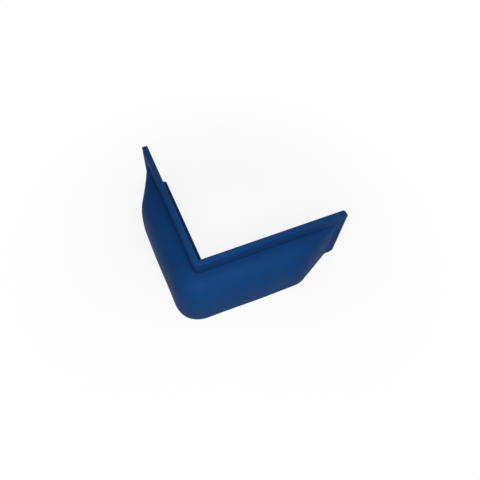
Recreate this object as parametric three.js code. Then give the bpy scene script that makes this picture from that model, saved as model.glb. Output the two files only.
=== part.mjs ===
// Dock corner bumper: one hollow vinyl moulding that wraps the outside corner of a dock.
// A thin L-shaped flange stands upright; a crowned cushion bulges from its outer side, turns
// the corner as a quarter revolve and ramps down to the flange near the end of each arm.
// A flat pad stands proud of the back of the flange and bears on the two faces of the dock.
// Millimetres, +Z up, standing on its flat underside, origin under the middle of its box.
import * as THREE from 'three';

// Flange
const legLength = 254;            // inner corner to the end of an arm, along the back
const height = 115;               // underside to the top of the flange
const flangeThickness = 9.2;
const flangeStrip = 24.5;         // height of flange left bare above the cushion
const endCornerRadius = 8.5;      // corners of an arm's end, seen square to the arm
const edgeRadius = 1.6;           // moulded edges all round

// Cushion
const projection = 47;            // back of the flange to the crown of the cushion
const endInset = 16.5;            // bare flange beyond the cushion at the end of an arm
const rampLength = 72;            // run of the straight ramp, up to the full projection
const rampBlendRadius = 44;       // rounds the ramp into the full projection
const rampFootRadius = 10;        // rounds the ramp out of the flange
const cornerWaist = 2.2;          // how much the cushion draws in on either side of the corner
const waistReach = 110;           // inner corner to where that drawing in has faded
const cornerSwell = 1.9;          // how much it swells again in the middle of the corner
const soleRadius = 5;             // outer lower edge of the cushion
const creaseRadius = 1;           // hollow where the cushion meets the flange
const crownFullness = 3.7;        // section exponent: higher keeps the crown upright for longer
const shoulderFullness = 2.3;     // section exponent: higher makes the shoulder squarer

// Back pad
const padDepth = 10;              // how far the pad stands behind the flange
const padDrop = 26.5;             // top of the flange down to the top of the pad
const padInset = 68;              // end of an arm to the end of the pad
const padEndRun = 4;              // length over which the pad's end rises
const padEdgeRadius = 2.4;

// How finely the curves are cut
const cornerSteps = 20;           // quarter turn round the corner
const crownSteps = 15;            // crown and shoulder of the section
const rampSteps = 8;              // blend between ramp and full projection
const footSteps = 3;              // blend between flange and ramp
const slopeSteps = 5;             // straight part of the ramp, closer together at its foot
const waistSteps = 8;             // drawing in along an arm
const roundSteps = 3;             // each small moulded edge
const endSteps = 5;               // rounded corners at the end of an arm

const vinylBlue = 0x14427a;
const padTop = height - padDrop;
const creaseHeight = height - flangeStrip;
const cushionDepth = projection - flangeThickness;
const rampAngle = Math.atan2(cushionDepth, rampLength);
const blendTangent = rampBlendRadius * Math.tan(rampAngle / 2);
const footTangent = rampFootRadius * Math.tan(rampAngle / 2);
const rampStart = legLength - endInset;
const rampTop = rampStart - rampLength;
const padEnd = legLength - padInset;
const quarter = Math.PI / 2;

const steps = (count) => Array.from({ length: count + 1 }, (_, i) => i / count);

// Depth of the cushion in front of the flange at a distance along the arm: a small arc out
// of the flange, a straight ramp, a larger arc, then the full depth, which draws in a little
// toward the corner.
function cushionAt(along) {
  const run = rampStart - along;
  if (run <= -footTangent) return 0;
  if (run <= footTangent * Math.cos(rampAngle)) {
    return rampFootRadius - Math.sqrt(rampFootRadius ** 2 - (run + footTangent) ** 2);
  }
  if (run <= rampLength - blendTangent * Math.cos(rampAngle)) return run * Math.tan(rampAngle);
  const short = rampLength + blendTangent - run;
  if (short > 0) {
    return cushionDepth - rampBlendRadius + Math.sqrt(rampBlendRadius ** 2 - short ** 2);
  }
  const fade = (1 + Math.cos(Math.PI * Math.min(along / waistReach, 1))) / 2;
  return cushionDepth - cornerWaist * fade;
}

// Depth of the pad behind the flange, rising through a half wave at the pad's end.
function padAt(along) {
  const rise = THREE.MathUtils.clamp((padEnd - along) / padEndRun, 0, 1);
  return padDepth * (1 - Math.cos(Math.PI * rise)) / 2;
}

// How far a rounded corner of the given radius has cut in at a distance from the end face.
function roundedIn(radius, fromEnd) {
  const short = Math.max(radius - fromEnd, 0);
  return radius - Math.sqrt(radius ** 2 - short ** 2);
}

// Quarter arc from angle a0, turning by +90 degrees, as [out, up] points.
function arc(out, up, radiusOut, radiusUp, a0) {
  return steps(roundSteps).map((k) => {
    const a = a0 + k * quarter;
    return [out + radiusOut * Math.cos(a), up + radiusUp * Math.sin(a)];
  });
}

// Closed section at a distance along the arm, as [out, up] points, where out is measured
// from the back of the flange toward the boat. It runs round the outside from the underside.
// Swell is added to the cushion's depth.
function sectionAt(along, swell = 0) {
  const fromEnd = legLength - along;
  const thin = roundedIn(edgeRadius, fromEnd);
  const low = roundedIn(endCornerRadius, fromEnd);
  const top = height - low;
  const front = flangeThickness - thin;
  const depth = cushionAt(along) + swell;
  const share = depth / cushionDepth;
  const sole = THREE.MathUtils.lerp(edgeRadius, soleRadius, share);
  const soleRise = low + sole;
  const points = [[thin + edgeRadius, low]];

  points.push(...arc(front + depth - sole, soleRise, sole, sole, -quarter));

  // Crown and shoulder: superellipse from the full depth up to the crease, whose last part
  // lifts into a small hollow against the flange.
  const hollow = Math.min(creaseRadius, 0.5 * depth);
  const hollowShare = depth > 0 ? hollow / depth : 0.5;
  const hollowAngle = Math.asin(hollowShare ** (shoulderFullness / 2));
  const rise = creaseHeight - soleRise;
  const shoulder = (a, out) => {
    const lift = hollow - Math.sqrt(hollow ** 2 - Math.max(hollow - out, 0) ** 2);
    return [front + out, soleRise + rise * Math.cos(a) ** (2 / crownFullness) + lift];
  };
  for (const k of steps(crownSteps).slice(1)) {
    const a = THREE.MathUtils.lerp(quarter, hollowAngle, k);
    points.push(shoulder(a, depth * Math.sin(a) ** (2 / shoulderFullness)));
  }
  for (const k of steps(roundSteps).slice(1)) {
    const share = hollowShare * (1 - Math.sin(k * quarter));
    const a = Math.asin(share ** (shoulderFullness / 2));
    points.push(shoulder(a, depth * share));
  }

  points.push(...arc(front - edgeRadius, top - edgeRadius, edgeRadius, edgeRadius, 0));
  points.push(...arc(thin + edgeRadius, top - edgeRadius, edgeRadius, edgeRadius, quarter));

  // Back of the flange, the pad's shelf and the pad's face.
  const pad = padAt(along);
  const padRound = Math.min(padEdgeRadius, pad / 2);
  points.push([thin, padTop]);
  if (pad > 0) {
    points.push(...arc(padRound - pad, padTop - padRound, padRound, padRound, quarter));
  } else {
    points.push(...steps(roundSteps).map((k) => [thin, padTop - k * padEdgeRadius]));
  }
  points.push(...arc(thin - pad + edgeRadius, low + edgeRadius, edgeRadius, edgeRadius, Math.PI));
  return points;
}

// Distances along an arm at which a section is cut, from its end to the corner.
function stationsAlong() {
  const ends = [
    ...steps(endSteps).map((k) => endCornerRadius * (1 - Math.cos(k * quarter))),
    ...steps(roundSteps).map((k) => edgeRadius * (1 - Math.cos(k * quarter))),
  ].map((fromEnd) => legLength - fromEnd);
  const blendFrom = rampTop + blendTangent * Math.cos(rampAngle);
  const blend = steps(rampSteps).map((k) => {
    const a = rampAngle * (1 - k);
    return rampTop - blendTangent + rampBlendRadius * Math.sin(a);
  });
  const foot = steps(footSteps).map((k) => {
    return rampStart + footTangent - rampFootRadius * Math.sin(rampAngle * k);
  });
  const slope = steps(slopeSteps).slice(1, -1).map((k) => {
    return THREE.MathUtils.lerp(foot.at(-1), blendFrom, k ** 2);
  });
  const waist = steps(waistSteps).map((k) => waistReach * k);
  const pad = steps(2 * roundSteps).map((k) => padEnd - k * padEndRun);
  const all = [...ends, ...foot, ...slope, ...blend, ...pad, ...waist, padDepth]
    .sort((a, b) => b - a);
  const closest = 0.05;
  return all.filter((along, i) => i === 0 || all[i - 1] - along > closest);
}

// One section placed in space. Turn runs from 0 on the first arm to 1 on the second; what
// lies behind the flange meets on the mitre line of the inner corner.
function placeSection(points, along, turn) {
  const a = turn * quarter;
  return points.map(([out, up]) => {
    if (turn > 0 && turn < 1) {
      const reach = Math.max(out, 0);
      const mitre = Math.max(-out, 0);
      return new THREE.Vector3(mitre - reach * Math.sin(a), mitre - reach * Math.cos(a), up);
    }
    const run = Math.max(along, -out);
    return turn === 0 ? new THREE.Vector3(run, -out, up) : new THREE.Vector3(-out, run, up);
  });
}

// Skin over a row of rings, closed by a fan at both ends. Points that coincide are joined
// and the faces that vanish with them are left out.
function loft(rings) {
  const grain = 1e-4;
  const index = new Map();
  const positions = [];
  const faces = [];
  const vertex = (p) => {
    const key = [p.x, p.y, p.z].map((v) => Math.round(v / grain)).join();
    if (!index.has(key)) {
      index.set(key, positions.length / 3);
      positions.push(p.x, p.y, p.z);
    }
    return index.get(key);
  };
  const face = (a, b, c) => {
    if (a !== b && b !== c && c !== a) faces.push(a, b, c);
  };
  const ids = rings.map((ring) => ring.map(vertex));
  const count = rings[0].length;
  for (let r = 0; r + 1 < rings.length; r += 1) {
    for (let i = 0; i < count; i += 1) {
      const j = (i + 1) % count;
      face(ids[r][i], ids[r + 1][j], ids[r + 1][i]);
      face(ids[r][i], ids[r][j], ids[r + 1][j]);
    }
  }
  const cap = (ring, ringIds, flip) => {
    const middle = ring.reduce((sum, p) => sum.add(p), new THREE.Vector3());
    const centre = vertex(middle.divideScalar(count));
    for (let i = 0; i < count; i += 1) {
      const j = (i + 1) % count;
      if (flip) face(centre, ringIds[i], ringIds[j]);
      else face(centre, ringIds[j], ringIds[i]);
    }
  };
  cap(rings[0], ids[0], false);
  cap(rings.at(-1), ids.at(-1), true);
  const geometry = new THREE.BufferGeometry();
  geometry.setAttribute('position', new THREE.Float32BufferAttribute(positions, 3));
  geometry.setIndex(faces);
  return geometry;
}

function bumperGeometry() {
  const stations = stationsAlong();
  const firstArm = stations.map((along) => placeSection(sectionAt(along), along, 0));
  const secondArm = stations.map((along) => placeSection(sectionAt(along), along, 1)).reverse();
  const corner = steps(cornerSteps).slice(1, -1).map((turn) => {
    const swell = cornerSwell * Math.sin(turn * Math.PI) ** 2;
    return placeSection(sectionAt(0, swell), 0, turn);
  });
  const geometry = loft([...firstArm, ...corner, ...secondArm]);
  const centreShift = (legLength - projection) / 2;
  geometry.translate(-centreShift, -centreShift, 0);
  geometry.computeVertexNormals();
  return geometry;
}

const group = new THREE.Group();
const vinyl = new THREE.MeshStandardMaterial({ color: vinylBlue, roughness: 0.5, metalness: 0 });
const bumper = new THREE.Mesh(bumperGeometry(), vinyl);
bumper.name = 'bumper';
group.add(bumper);

export default group;
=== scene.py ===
import math

import bpy
import numpy as np
from mathutils import Matrix, Vector

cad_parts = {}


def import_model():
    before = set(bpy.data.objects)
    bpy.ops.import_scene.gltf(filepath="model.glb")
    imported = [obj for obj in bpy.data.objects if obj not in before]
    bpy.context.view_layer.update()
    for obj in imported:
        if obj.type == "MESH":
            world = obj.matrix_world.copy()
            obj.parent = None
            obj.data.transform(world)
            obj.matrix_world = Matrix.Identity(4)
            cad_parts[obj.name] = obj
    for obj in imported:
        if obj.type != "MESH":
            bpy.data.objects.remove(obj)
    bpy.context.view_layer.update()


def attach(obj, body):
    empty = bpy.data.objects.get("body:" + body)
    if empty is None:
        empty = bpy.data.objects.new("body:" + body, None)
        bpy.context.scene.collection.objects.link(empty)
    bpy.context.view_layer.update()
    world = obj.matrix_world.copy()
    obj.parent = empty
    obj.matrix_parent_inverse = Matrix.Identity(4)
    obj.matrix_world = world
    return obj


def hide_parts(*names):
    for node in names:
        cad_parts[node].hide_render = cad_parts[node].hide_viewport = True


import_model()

MM = 0.001
QUARTER = math.pi / 2

# Flange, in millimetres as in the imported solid
LEG, HEIGHT, THICK, STRIP = 254.0, 115.0, 9.2, 24.5
END_CORNER, EDGE = 8.5, 1.6

# Cushion: its reach and ramp, its waist beside the corner and swell in it, and its section
PROJECTION, END_INSET, RAMP, RAMP_BLEND, RAMP_FOOT = 47.0, 16.5, 72.0, 44.0, 10.0
WAIST, WAIST_REACH, SWELL = 2.2, 110.0, 1.9
SOLE, CREASE, CROWN, SHOULDER = 5.0, 1.0, 3.7, 2.3

# Pad behind the flange
PAD, PAD_DROP, PAD_INSET, PAD_RUN, PAD_EDGE = 10.0, 26.5, 68.0, 4.0, 2.4

# Lengths that follow from these
CENTRE = (LEG - PROJECTION) / 2
DEPTH = PROJECTION - THICK
SLOPE = math.atan2(DEPTH, RAMP)
TANGENT = RAMP_BLEND * math.tan(SLOPE / 2)
FOOT_TANGENT = RAMP_FOOT * math.tan(SLOPE / 2)

# Painted shade in the recesses, standing in for the shade that falls in the crease, on the
# strip above it and on the shelf behind the flange: how far it reaches, in millimetres, and
# how dark it is from 0 to 1
SHADE_OUT, CREASE_UP, STRIP_UP = 0.6, 3.0, 24.0
SHELF_OUT, SHELF_UP, SHELF_FADE = 11.0, 3.5, 15.0
CREASE_SHADE, STRIP_SHADE, SHELF_SHADE = 0.12, 0.22, 0.8

# How finely the skin is cut: each small rounded edge, the corner, and the flat parts of a
# section from the underside round to the back
FINE, CORNER_CUTS = 6, 48
UNDER_CUTS, STRIP_CUTS, TOP_CUTS, BACK_CUTS, SHELF_CUTS, PAD_CUTS = 6, 6, 4, 6, 4, 16
# Along an arm, in millimetres: the even cuts, and how close two cuts may come
SPACING, CLOSEST = 4.0, 0.12
# Above 1, the cuts of the ramp crowd toward its foot
CROWDING = 1.5
# Points closer than this, in millimetres, are one
WELD = 1e-3
SHARP_DEGREES = 38

# Linear colours of the vinyl, and last the dark blue of the painted shade in its recesses
DEEP_BLUE, PALE_BLUE = (0.0032, 0.0380, 0.1400), (0.0038, 0.0425, 0.1550)
RUBBED_BLUE, PAINTED_SHADE_BLUE = (0.0120, 0.0620, 0.1900), (0.0008, 0.0070, 0.0240)

# Camera, fitted to the photograph: angles in radians, lengths in arm lengths
AZ, EL, ROLL, DISTANCE, FOCAL_PX = -2.0725, 0.9861, 0.1000, 2.7605, 414.77
TARGET_X, TARGET_Y, TARGET_Z = 0.3568, 0.1821, 0.2
PICTURE_PX, SENSOR_MM = 480, 36.0

# Stage, in metres: the floor, and where its shadow starts and ends its fade to white
FLOOR_HALF, FLOOR_BELOW = 8.0, 0.0004
SHADOW_FULL, SHADOW_GONE = 0.12, 0.45
WHITE_SHARE = 0.86
FILL_LIGHT = 0.24
LOW_MIDDLE, CORNER_MIDDLE = (0, 0, 0.05), (-0.1, -0.1, 0.08)


def cushion_at(along):
    """Depth of the cushion in front of the flange at a distance along an arm."""
    run = LEG - END_INSET - along
    if run <= -FOOT_TANGENT:
        return 0.0
    if run <= FOOT_TANGENT * math.cos(SLOPE):
        return RAMP_FOOT - math.sqrt(RAMP_FOOT**2 - (run + FOOT_TANGENT) ** 2)
    if run <= RAMP - TANGENT * math.cos(SLOPE):
        return run * math.tan(SLOPE)
    short = RAMP + TANGENT - run
    if short > 0:
        return DEPTH - RAMP_BLEND + math.sqrt(RAMP_BLEND**2 - short**2)
    fade = (1 + math.cos(math.pi * min(along / WAIST_REACH, 1.0))) / 2
    return DEPTH - WAIST * fade


def pad_at(along):
    """Depth of the pad behind the flange at a distance along an arm."""
    rise = min(max((LEG - PAD_INSET - along) / PAD_RUN, 0.0), 1.0)
    return PAD * (1 - math.cos(math.pi * rise)) / 2


def rounded_in(radius, from_end):
    """How far a rounded corner has cut in at a distance from the end of an arm."""
    short = max(radius - from_end, 0.0)
    return radius - math.sqrt(radius**2 - short**2)


def arc(out, up, radius, start):
    """Quarter arc from an angle, turning by +90 degrees, as rows of (out, up)."""
    a = start + np.linspace(0, QUARTER, FINE + 1)
    return np.stack([out + radius * np.cos(a), up + radius * np.sin(a)], -1)


def line(p, q, steps):
    """Points between p and q, without these two."""
    k = np.linspace(0, 1, steps + 1)[1:-1, None]
    return np.array(p) * (1 - k) + np.array(q) * k


def section_at(along, swell=0.0):
    """Closed section as rows of (out, up), out measured from the back of the flange."""
    from_end = LEG - along
    thin = rounded_in(EDGE, from_end)
    low = rounded_in(END_CORNER, from_end)
    top = HEIGHT - low
    front = THICK - thin
    depth = cushion_at(along) + swell
    share = depth / DEPTH
    sole = EDGE + (SOLE - EDGE) * share
    foot = low + sole
    rise = HEIGHT - STRIP - foot
    hollow = min(CREASE, 0.5 * depth)
    hollow_share = hollow / depth if depth > 0 else 0.5

    def shoulder(shares):
        out = depth * shares
        a = np.arcsin(np.clip(shares, 0, 1) ** (SHOULDER / 2))
        lift = hollow - np.sqrt(hollow**2 - np.maximum(hollow - out, 0) ** 2)
        up = foot + rise * np.maximum(np.cos(a), 0) ** (2 / CROWN) + lift
        return np.stack([front + out, up], -1)

    hollow_angle = math.asin(hollow_share ** (SHOULDER / 2))
    angles = np.linspace(QUARTER, hollow_angle, 4 * FINE + 1)[1:]
    crown = shoulder(np.sin(angles) ** (2 / SHOULDER))
    turn = np.linspace(0, QUARTER, FINE + 1)[1:]
    crease = shoulder(hollow_share * (1 - np.sin(turn)))
    pad = pad_at(along)
    pad_round = min(PAD_EDGE, pad / 2)
    pad_top = HEIGHT - PAD_DROP
    if pad > 0:
        shelf = arc(pad_round - pad, pad_top - pad_round, pad_round, QUARTER)
    else:
        k = np.linspace(0, 1, FINE + 1)
        shelf = np.stack([np.full(FINE + 1, thin), pad_top - k * PAD_EDGE], -1)
    sole_arc = arc(front + depth - sole, foot, sole, -QUARTER)
    back_foot = arc(thin - pad + EDGE, low + EDGE, EDGE, math.pi)
    start = np.array([[thin + EDGE, low]])
    top_front = arc(front - EDGE, top - EDGE, EDGE, 0)
    top_back = arc(thin + EDGE, top - EDGE, EDGE, QUARTER)
    back = np.array([[thin, pad_top]])
    return np.concatenate([
        start, line(start[0], sole_arc[0], UNDER_CUTS), sole_arc, crown, crease,
        line(crease[-1], top_front[0], STRIP_CUTS), top_front,
        line(top_front[-1], top_back[0], TOP_CUTS), top_back,
        line(top_back[-1], back[0], BACK_CUTS), back,
        line(back[0], shelf[0], SHELF_CUTS), shelf,
        line(shelf[-1], back_foot[0], PAD_CUTS), back_foot,
    ])


def stations():
    """Distances along an arm at which it is cut, from its end to the corner."""
    k = np.linspace(0, 1, 2 * FINE + 1)
    ends = list(LEG - END_CORNER * (1 - np.cos(k * QUARTER)))
    ends += list(LEG - EDGE * (1 - np.cos(k * QUARTER)))
    start = LEG - END_INSET
    top = start - RAMP
    blend = list(top - TANGENT + RAMP_BLEND * np.sin(SLOPE * (1 - k)))
    foot = list(start + FOOT_TANGENT - RAMP_FOOT * np.sin(SLOPE * k))
    crowded = np.linspace(0, 1, 4 * FINE + 1) ** CROWDING
    ramp = list(foot[-1] - (foot[-1] - blend[0]) * crowded)
    pad = list(LEG - PAD_INSET - k * PAD_RUN)
    even = list(np.arange(PAD, LEG - END_CORNER, SPACING))
    rows = sorted(ends + foot + blend + ramp + pad + even + [PAD, 0.0], reverse=True)
    kept = [rows[0]]
    for row in rows[1:]:
        if kept[-1] - row > CLOSEST or row == 0.0:
            kept.append(row)
    return kept


def place(section, along, turn):
    """A section in space: turn 0 on the X arm, 1 on the Y arm, between them at the corner."""
    out, up = section[:, 0], section[:, 1]
    if 0 < turn < 1:
        reach, mitre = np.maximum(out, 0), np.maximum(-out, 0)
        a = turn * QUARTER
        return np.stack([mitre - reach * math.sin(a), mitre - reach * math.cos(a), up], -1)
    run = np.maximum(along, -out)
    return np.stack([run, -out, up] if turn == 0 else [-out, run, up], -1)


def painted_recess_shade(section, along):
    """How dark the painted shade makes each point, standing in for the shade of these
    recesses: in the crease, less on the strip above it, most on the shelf.
    """
    out, up = section[:, 0], section[:, 1]
    above_crease = up - (HEIGHT - STRIP)
    above_shelf = up - (HEIGHT - PAD_DROP)
    front = np.exp(-(((out - THICK) / SHADE_OUT) ** 2))
    front *= min(cushion_at(along) / CREASE_UP, 1.0)
    crease = CREASE_SHADE * front * np.exp(-((above_crease / CREASE_UP) ** 2))
    strip = STRIP_SHADE * front * np.exp(-((above_crease / STRIP_UP) ** 2))
    behind = np.exp(-((np.minimum(out, 0) / SHELF_OUT) ** 2 + (above_shelf / SHELF_UP) ** 2))
    from_pad_end = min(max((LEG - PAD_INSET - along) / SHELF_FADE, 0.0), 1.0)
    shelf = SHELF_SHADE * behind * (out < THICK / 2) * from_pad_end
    return crease + strip + shelf


def moulding():
    """The skin as one mesh, with a length-true UV map and the painted shade of its recesses as
    a point attribute.
    """
    cuts = stations()
    turns = np.linspace(0, 1, CORNER_CUTS + 1)[1:-1]
    rows = [(s, 0.0, 0.0) for s in cuts]
    rows += [(0.0, t, SWELL * math.sin(math.pi * t) ** 2) for t in turns]
    rows += [(s, 1.0, 0.0) for s in reversed(cuts)]
    sections = [section_at(along, swell) for along, _, swell in rows]
    rings = np.array([place(c, along, turn) for c, (along, turn, _) in zip(sections, rows)])
    shades = [painted_recess_shade(c, along) for c, (along, _, _) in zip(sections, rows)]
    count = rings.shape[1]

    # u runs round each ring and v along the crown, both in true length
    steps_round = np.linalg.norm(np.roll(rings, -1, axis=1) - rings, axis=2)
    u = np.concatenate([np.zeros((len(rings), 1)), np.cumsum(steps_round, axis=1)], axis=1)
    crown = 4 * FINE
    steps_on = np.linalg.norm(np.diff(rings[:, crown], axis=0), axis=1)
    v = np.concatenate([[0.0], np.cumsum(steps_on)])

    # All points, with the middle of each end last, and the one vertex for those that meet
    flat = np.concatenate([rings.reshape(-1, 3), [rings[0].mean(0)], [rings[-1].mean(0)]])
    keys = np.round(flat / WELD).astype(np.int64)
    _, first_of, ids = np.unique(keys, axis=0, return_index=True, return_inverse=True)
    ids = ids.reshape(-1)
    faces, uvs = [], []

    def face(corners):
        """One face, without the corners that have met; none where fewer than 3 are left."""
        loop = []
        for at, uv in corners:
            vertex = int(ids[at])
            if not loop or loop[-1][0] != vertex:
                loop.append((vertex, uv))
        if len(loop) > 1 and loop[0][0] == loop[-1][0]:
            loop.pop()
        if len({vertex for vertex, _ in loop}) == len(loop) > 2:
            faces.append([vertex for vertex, _ in loop])
            uvs.extend(uv for _, uv in loop)

    for r in range(len(rings) - 1):
        for i in range(count):
            j = (i + 1) % count
            a, b = r * count, (r + 1) * count
            face([(a + i, (u[r, i], v[r])), (a + j, (u[r, i + 1], v[r])),
                  (b + j, (u[r + 1, i + 1], v[r + 1])), (b + i, (u[r + 1, i], v[r + 1]))])
    caps = ((0, len(flat) - 2, (1, 0)), (len(rings) - 1, len(flat) - 1, (0, 1)))
    for ring, middle, order in caps:
        for i in range(count):
            pair = (i, (i + 1) % count)
            ends = [(ring * count + pair[k], tuple(sections[ring][pair[k]])) for k in order]
            face([(middle, tuple(sections[ring].mean(0)))] + ends)

    points = (flat[first_of] - [CENTRE, CENTRE, 0]) * MM
    mesh = bpy.data.meshes.new("moulded_skin")
    mesh.from_pydata(points.tolist(), [], faces)
    layer = mesh.uv_layers.new(name="skin")
    layer.data.foreach_set("uv", (np.array(uvs) * MM).ravel())
    # Painted shade of the crease, the strip above it and the shelf goes on each point, for the
    # vinyl to darken by
    shade = np.concatenate([np.concatenate(shades), [0.0, 0.0]])[first_of]
    mesh.attributes.new("painted_shade", "FLOAT", "POINT").data.foreach_set("value", shade)
    mesh.polygons.foreach_set("use_smooth", [True] * len(mesh.polygons))
    mesh.set_sharp_from_angle(angle=math.radians(SHARP_DEGREES))
    mesh.update()
    return mesh


def vinyl():
    """Moulded blue vinyl: nearly matt, with soft mottling, a wavy skin and a fine grain, and
    painted shade in its recesses.
    """
    material = bpy.data.materials.new("blue_vinyl")
    material.use_nodes = True
    nodes, links = material.node_tree.nodes, material.node_tree.links
    shader = nodes["Principled BSDF"]
    shader.inputs["Specular IOR Level"].default_value = 0.06
    shader.inputs["IOR"].default_value = 1.5
    at = nodes.new("ShaderNodeTexCoord").outputs["Object"]

    def noise(scale, detail, where=at):
        n = nodes.new("ShaderNodeTexNoise")
        n.inputs["Scale"].default_value = scale
        n.inputs["Detail"].default_value = detail
        links.new(where, n.inputs["Vector"])
        return n.outputs["Fac"]

    def spread(value, low, high):
        """The middle of a noise, where most of it lies, spread from low to high."""
        r = nodes.new("ShaderNodeMapRange")
        r.inputs["From Min"].default_value = 0.3
        r.inputs["From Max"].default_value = 0.7
        r.inputs["To Min"].default_value = low
        r.inputs["To Max"].default_value = high
        links.new(value, r.inputs["Value"])
        return r.outputs["Result"]

    def blend(share, first, second):
        """Mix of two colours, each a constant or a socket."""
        m = nodes.new("ShaderNodeMix")
        m.data_type = "RGBA"
        colours = [socket for socket in m.inputs if socket.type == "RGBA"]
        for socket, colour in zip(colours, (first, second)):
            if isinstance(colour, tuple):
                socket.default_value = (*colour, 1)
            else:
                links.new(colour, socket)
        links.new(share, m.inputs["Factor"])
        return next(socket for socket in m.outputs if socket.type == "RGBA")

    def bump(height, metres, under=None):
        b = nodes.new("ShaderNodeBump")
        b.inputs["Distance"].default_value = metres
        b.inputs["Strength"].default_value = 1.0
        links.new(height, b.inputs["Height"])
        if under:
            links.new(under, b.inputs["Normal"])
        return b.outputs["Normal"]

    # The rub streaks are drawn out along the arms
    along_skin = nodes.new("ShaderNodeMapping")
    along_skin.inputs["Scale"].default_value = (1.0, 0.12, 1.0)
    links.new(nodes.new("ShaderNodeUVMap").outputs["UV"], along_skin.inputs["Vector"])
    streaks = noise(420.0, 3.0, along_skin.outputs["Vector"])
    painted_shade = nodes.new("ShaderNodeAttribute")
    painted_shade.attribute_name = "painted_shade"

    mottled = blend(spread(noise(22.0, 5.0), 0.0, 1.0), DEEP_BLUE, PALE_BLUE)
    rubbed = blend(spread(streaks, 0.0, 0.12), mottled, RUBBED_BLUE)
    # Painted shade: the crease, the strip above it and the shelf behind the flange are
    # darkened toward a deep blue
    with_painted_shade = blend(painted_shade.outputs["Fac"], rubbed, PAINTED_SHADE_BLUE)
    links.new(with_painted_shade, shader.inputs["Base Color"])
    gloss = nodes.new("ShaderNodeMath")
    gloss.operation = "ADD"
    links.new(spread(noise(90.0, 4.0), 0.57, 0.68), gloss.inputs[0])
    links.new(spread(streaks, 0.0, 0.06), gloss.inputs[1])
    links.new(gloss.outputs["Value"], shader.inputs["Roughness"])
    wavy = bump(noise(16.0, 1.0), 0.0012)
    peel = bump(noise(160.0, 2.0), 0.0001, wavy)
    grain = bump(noise(1100.0, 1.0), 0.00003, peel)
    links.new(grain, shader.inputs["Normal"])
    return material


mesh = moulding()
mesh.materials.append(vinyl())
bumper = bpy.data.objects.new("bumper_skin", mesh)
bpy.context.collection.objects.link(bumper)
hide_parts("bumper")
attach(bumper, "root")


def camera():
    """Camera at the photograph's angle, looking at the target and rolled about its view."""
    arm = LEG * MM
    back = Vector((math.cos(EL) * math.cos(AZ), math.cos(EL) * math.sin(AZ), math.sin(EL)))
    right = (-back).cross(Vector((0, 0, 1))).normalized()
    up = right.cross(-back)
    c, s = math.cos(ROLL), math.sin(ROLL)
    across, upright = c * right + s * up, -s * right + c * up
    spot = Vector((TARGET_X, TARGET_Y, TARGET_Z)) + back * DISTANCE
    spot = spot * arm - Vector((CENTRE, CENTRE, 0)) * MM
    data = bpy.data.cameras.new("camera")
    data.sensor_width = SENSOR_MM
    data.lens = FOCAL_PX / PICTURE_PX * SENSOR_MM
    data.clip_start = 0.01
    cam = bpy.data.objects.new("camera", data)
    bpy.context.collection.objects.link(cam)
    turn = Matrix((across, upright, back)).transposed().to_4x4()
    cam.matrix_world = Matrix.Translation(spot) @ turn
    bpy.context.scene.camera = cam


def area_light(name, spot, size, watts, target):
    """Round soft lamp at a spot, aimed at a target, in metres."""
    data = bpy.data.lights.new(name, "AREA")
    data.shape = "DISK"
    data.size = size
    data.energy = watts
    lamp = bpy.data.objects.new(name, data)
    bpy.context.collection.objects.link(lamp)
    lamp.location = spot
    aim = Vector(target) - Vector(spot)
    lamp.rotation_euler = aim.to_track_quat("-Z", "Y").to_euler()


def seen_directly(nodes, links):
    """1 on camera, glossy and transmission rays, 0 on the rays that light the object."""
    path = nodes.new("ShaderNodeLightPath").outputs
    total = path["Is Camera Ray"]
    for name in ("Is Glossy Ray", "Is Transmission Ray"):
        either = nodes.new("ShaderNodeMath")
        either.operation = "MAXIMUM"
        links.new(total, either.inputs[0])
        links.new(path[name], either.inputs[1])
        total = either.outputs["Value"]
    return total


def world():
    """White where it is seen, and a weak fill light on the object."""
    w = bpy.data.worlds.new("world")
    bpy.context.scene.world = w
    w.use_nodes = True
    nodes, links = w.node_tree.nodes, w.node_tree.links
    background = nodes["Background"]
    background.inputs["Color"].default_value = (1, 1, 1, 1)
    strength = nodes.new("ShaderNodeMapRange")
    strength.inputs["To Min"].default_value = FILL_LIGHT
    strength.inputs["To Max"].default_value = 1.0
    links.new(seen_directly(nodes, links), strength.inputs["Value"])
    links.new(strength.outputs["Result"], background.inputs["Strength"])


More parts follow.
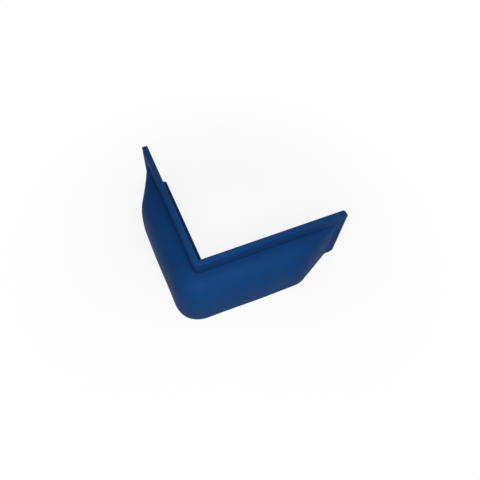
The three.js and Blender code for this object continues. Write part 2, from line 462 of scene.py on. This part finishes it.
def floor():
    """Pale floor that keeps the shadow near the object and fades to white around it."""
    sheet = bpy.data.meshes.new("floor")
    r = FLOOR_HALF
    sheet.from_pydata([(-r, -r, 0), (r, -r, 0), (r, r, 0), (-r, r, 0)], [], [(0, 1, 2, 3)])
    plane = bpy.data.objects.new("floor", sheet)
    plane.location = (0, 0, -FLOOR_BELOW)
    bpy.context.collection.objects.link(plane)
    material = bpy.data.materials.new("floor")
    material.use_nodes = True
    nodes, links = material.node_tree.nodes, material.node_tree.links
    shader = nodes["Principled BSDF"]
    shader.inputs["Base Color"].default_value = (0.85, 0.85, 0.85, 1)
    shader.inputs["Roughness"].default_value = 0.9
    shader.inputs["Specular IOR Level"].default_value = 0.0
    white = nodes.new("ShaderNodeEmission")
    white.inputs["Color"].default_value = (1, 1, 1, 1)
    white.inputs["Strength"].default_value = 1.0
    away = nodes.new("ShaderNodeVectorMath")
    away.operation = "LENGTH"
    links.new(nodes.new("ShaderNodeTexCoord").outputs["Object"], away.inputs[0])
    fade = nodes.new("ShaderNodeMapRange")
    fade.interpolation_type = "SMOOTHSTEP"
    fade.inputs["From Min"].default_value = SHADOW_FULL
    fade.inputs["From Max"].default_value = SHADOW_GONE
    fade.inputs["To Min"].default_value = WHITE_SHARE
    fade.inputs["To Max"].default_value = 1.0
    links.new(away.outputs["Value"], fade.inputs["Value"])
    share = nodes.new("ShaderNodeMath")
    share.operation = "MULTIPLY"
    links.new(fade.outputs["Result"], share.inputs[1])
    links.new(seen_directly(nodes, links), share.inputs[0])
    mix = nodes.new("ShaderNodeMixShader")
    links.new(share.outputs["Value"], mix.inputs["Fac"])
    links.new(shader.outputs["BSDF"], mix.inputs[1])
    links.new(white.outputs["Emission"], mix.inputs[2])
    links.new(mix.outputs["Shader"], nodes["Material Output"].inputs["Surface"])
    sheet.materials.append(material)


camera()
area_light("key", (-0.25, -0.40, 0.50), 0.25, 1.85, CORNER_MIDDLE)
area_light("front", (-0.08, -0.32, 0.45), 0.2, 0.5, CORNER_MIDDLE)
area_light("side", (0.6, -0.9, 1.2), 0.7, 3.2, LOW_MIDDLE)
area_light("rear", (1.3, 1.5, 0.7), 1.2, 13.0, LOW_MIDDLE)
world()
floor()
bpy.context.scene.view_settings.view_transform = "Standard"
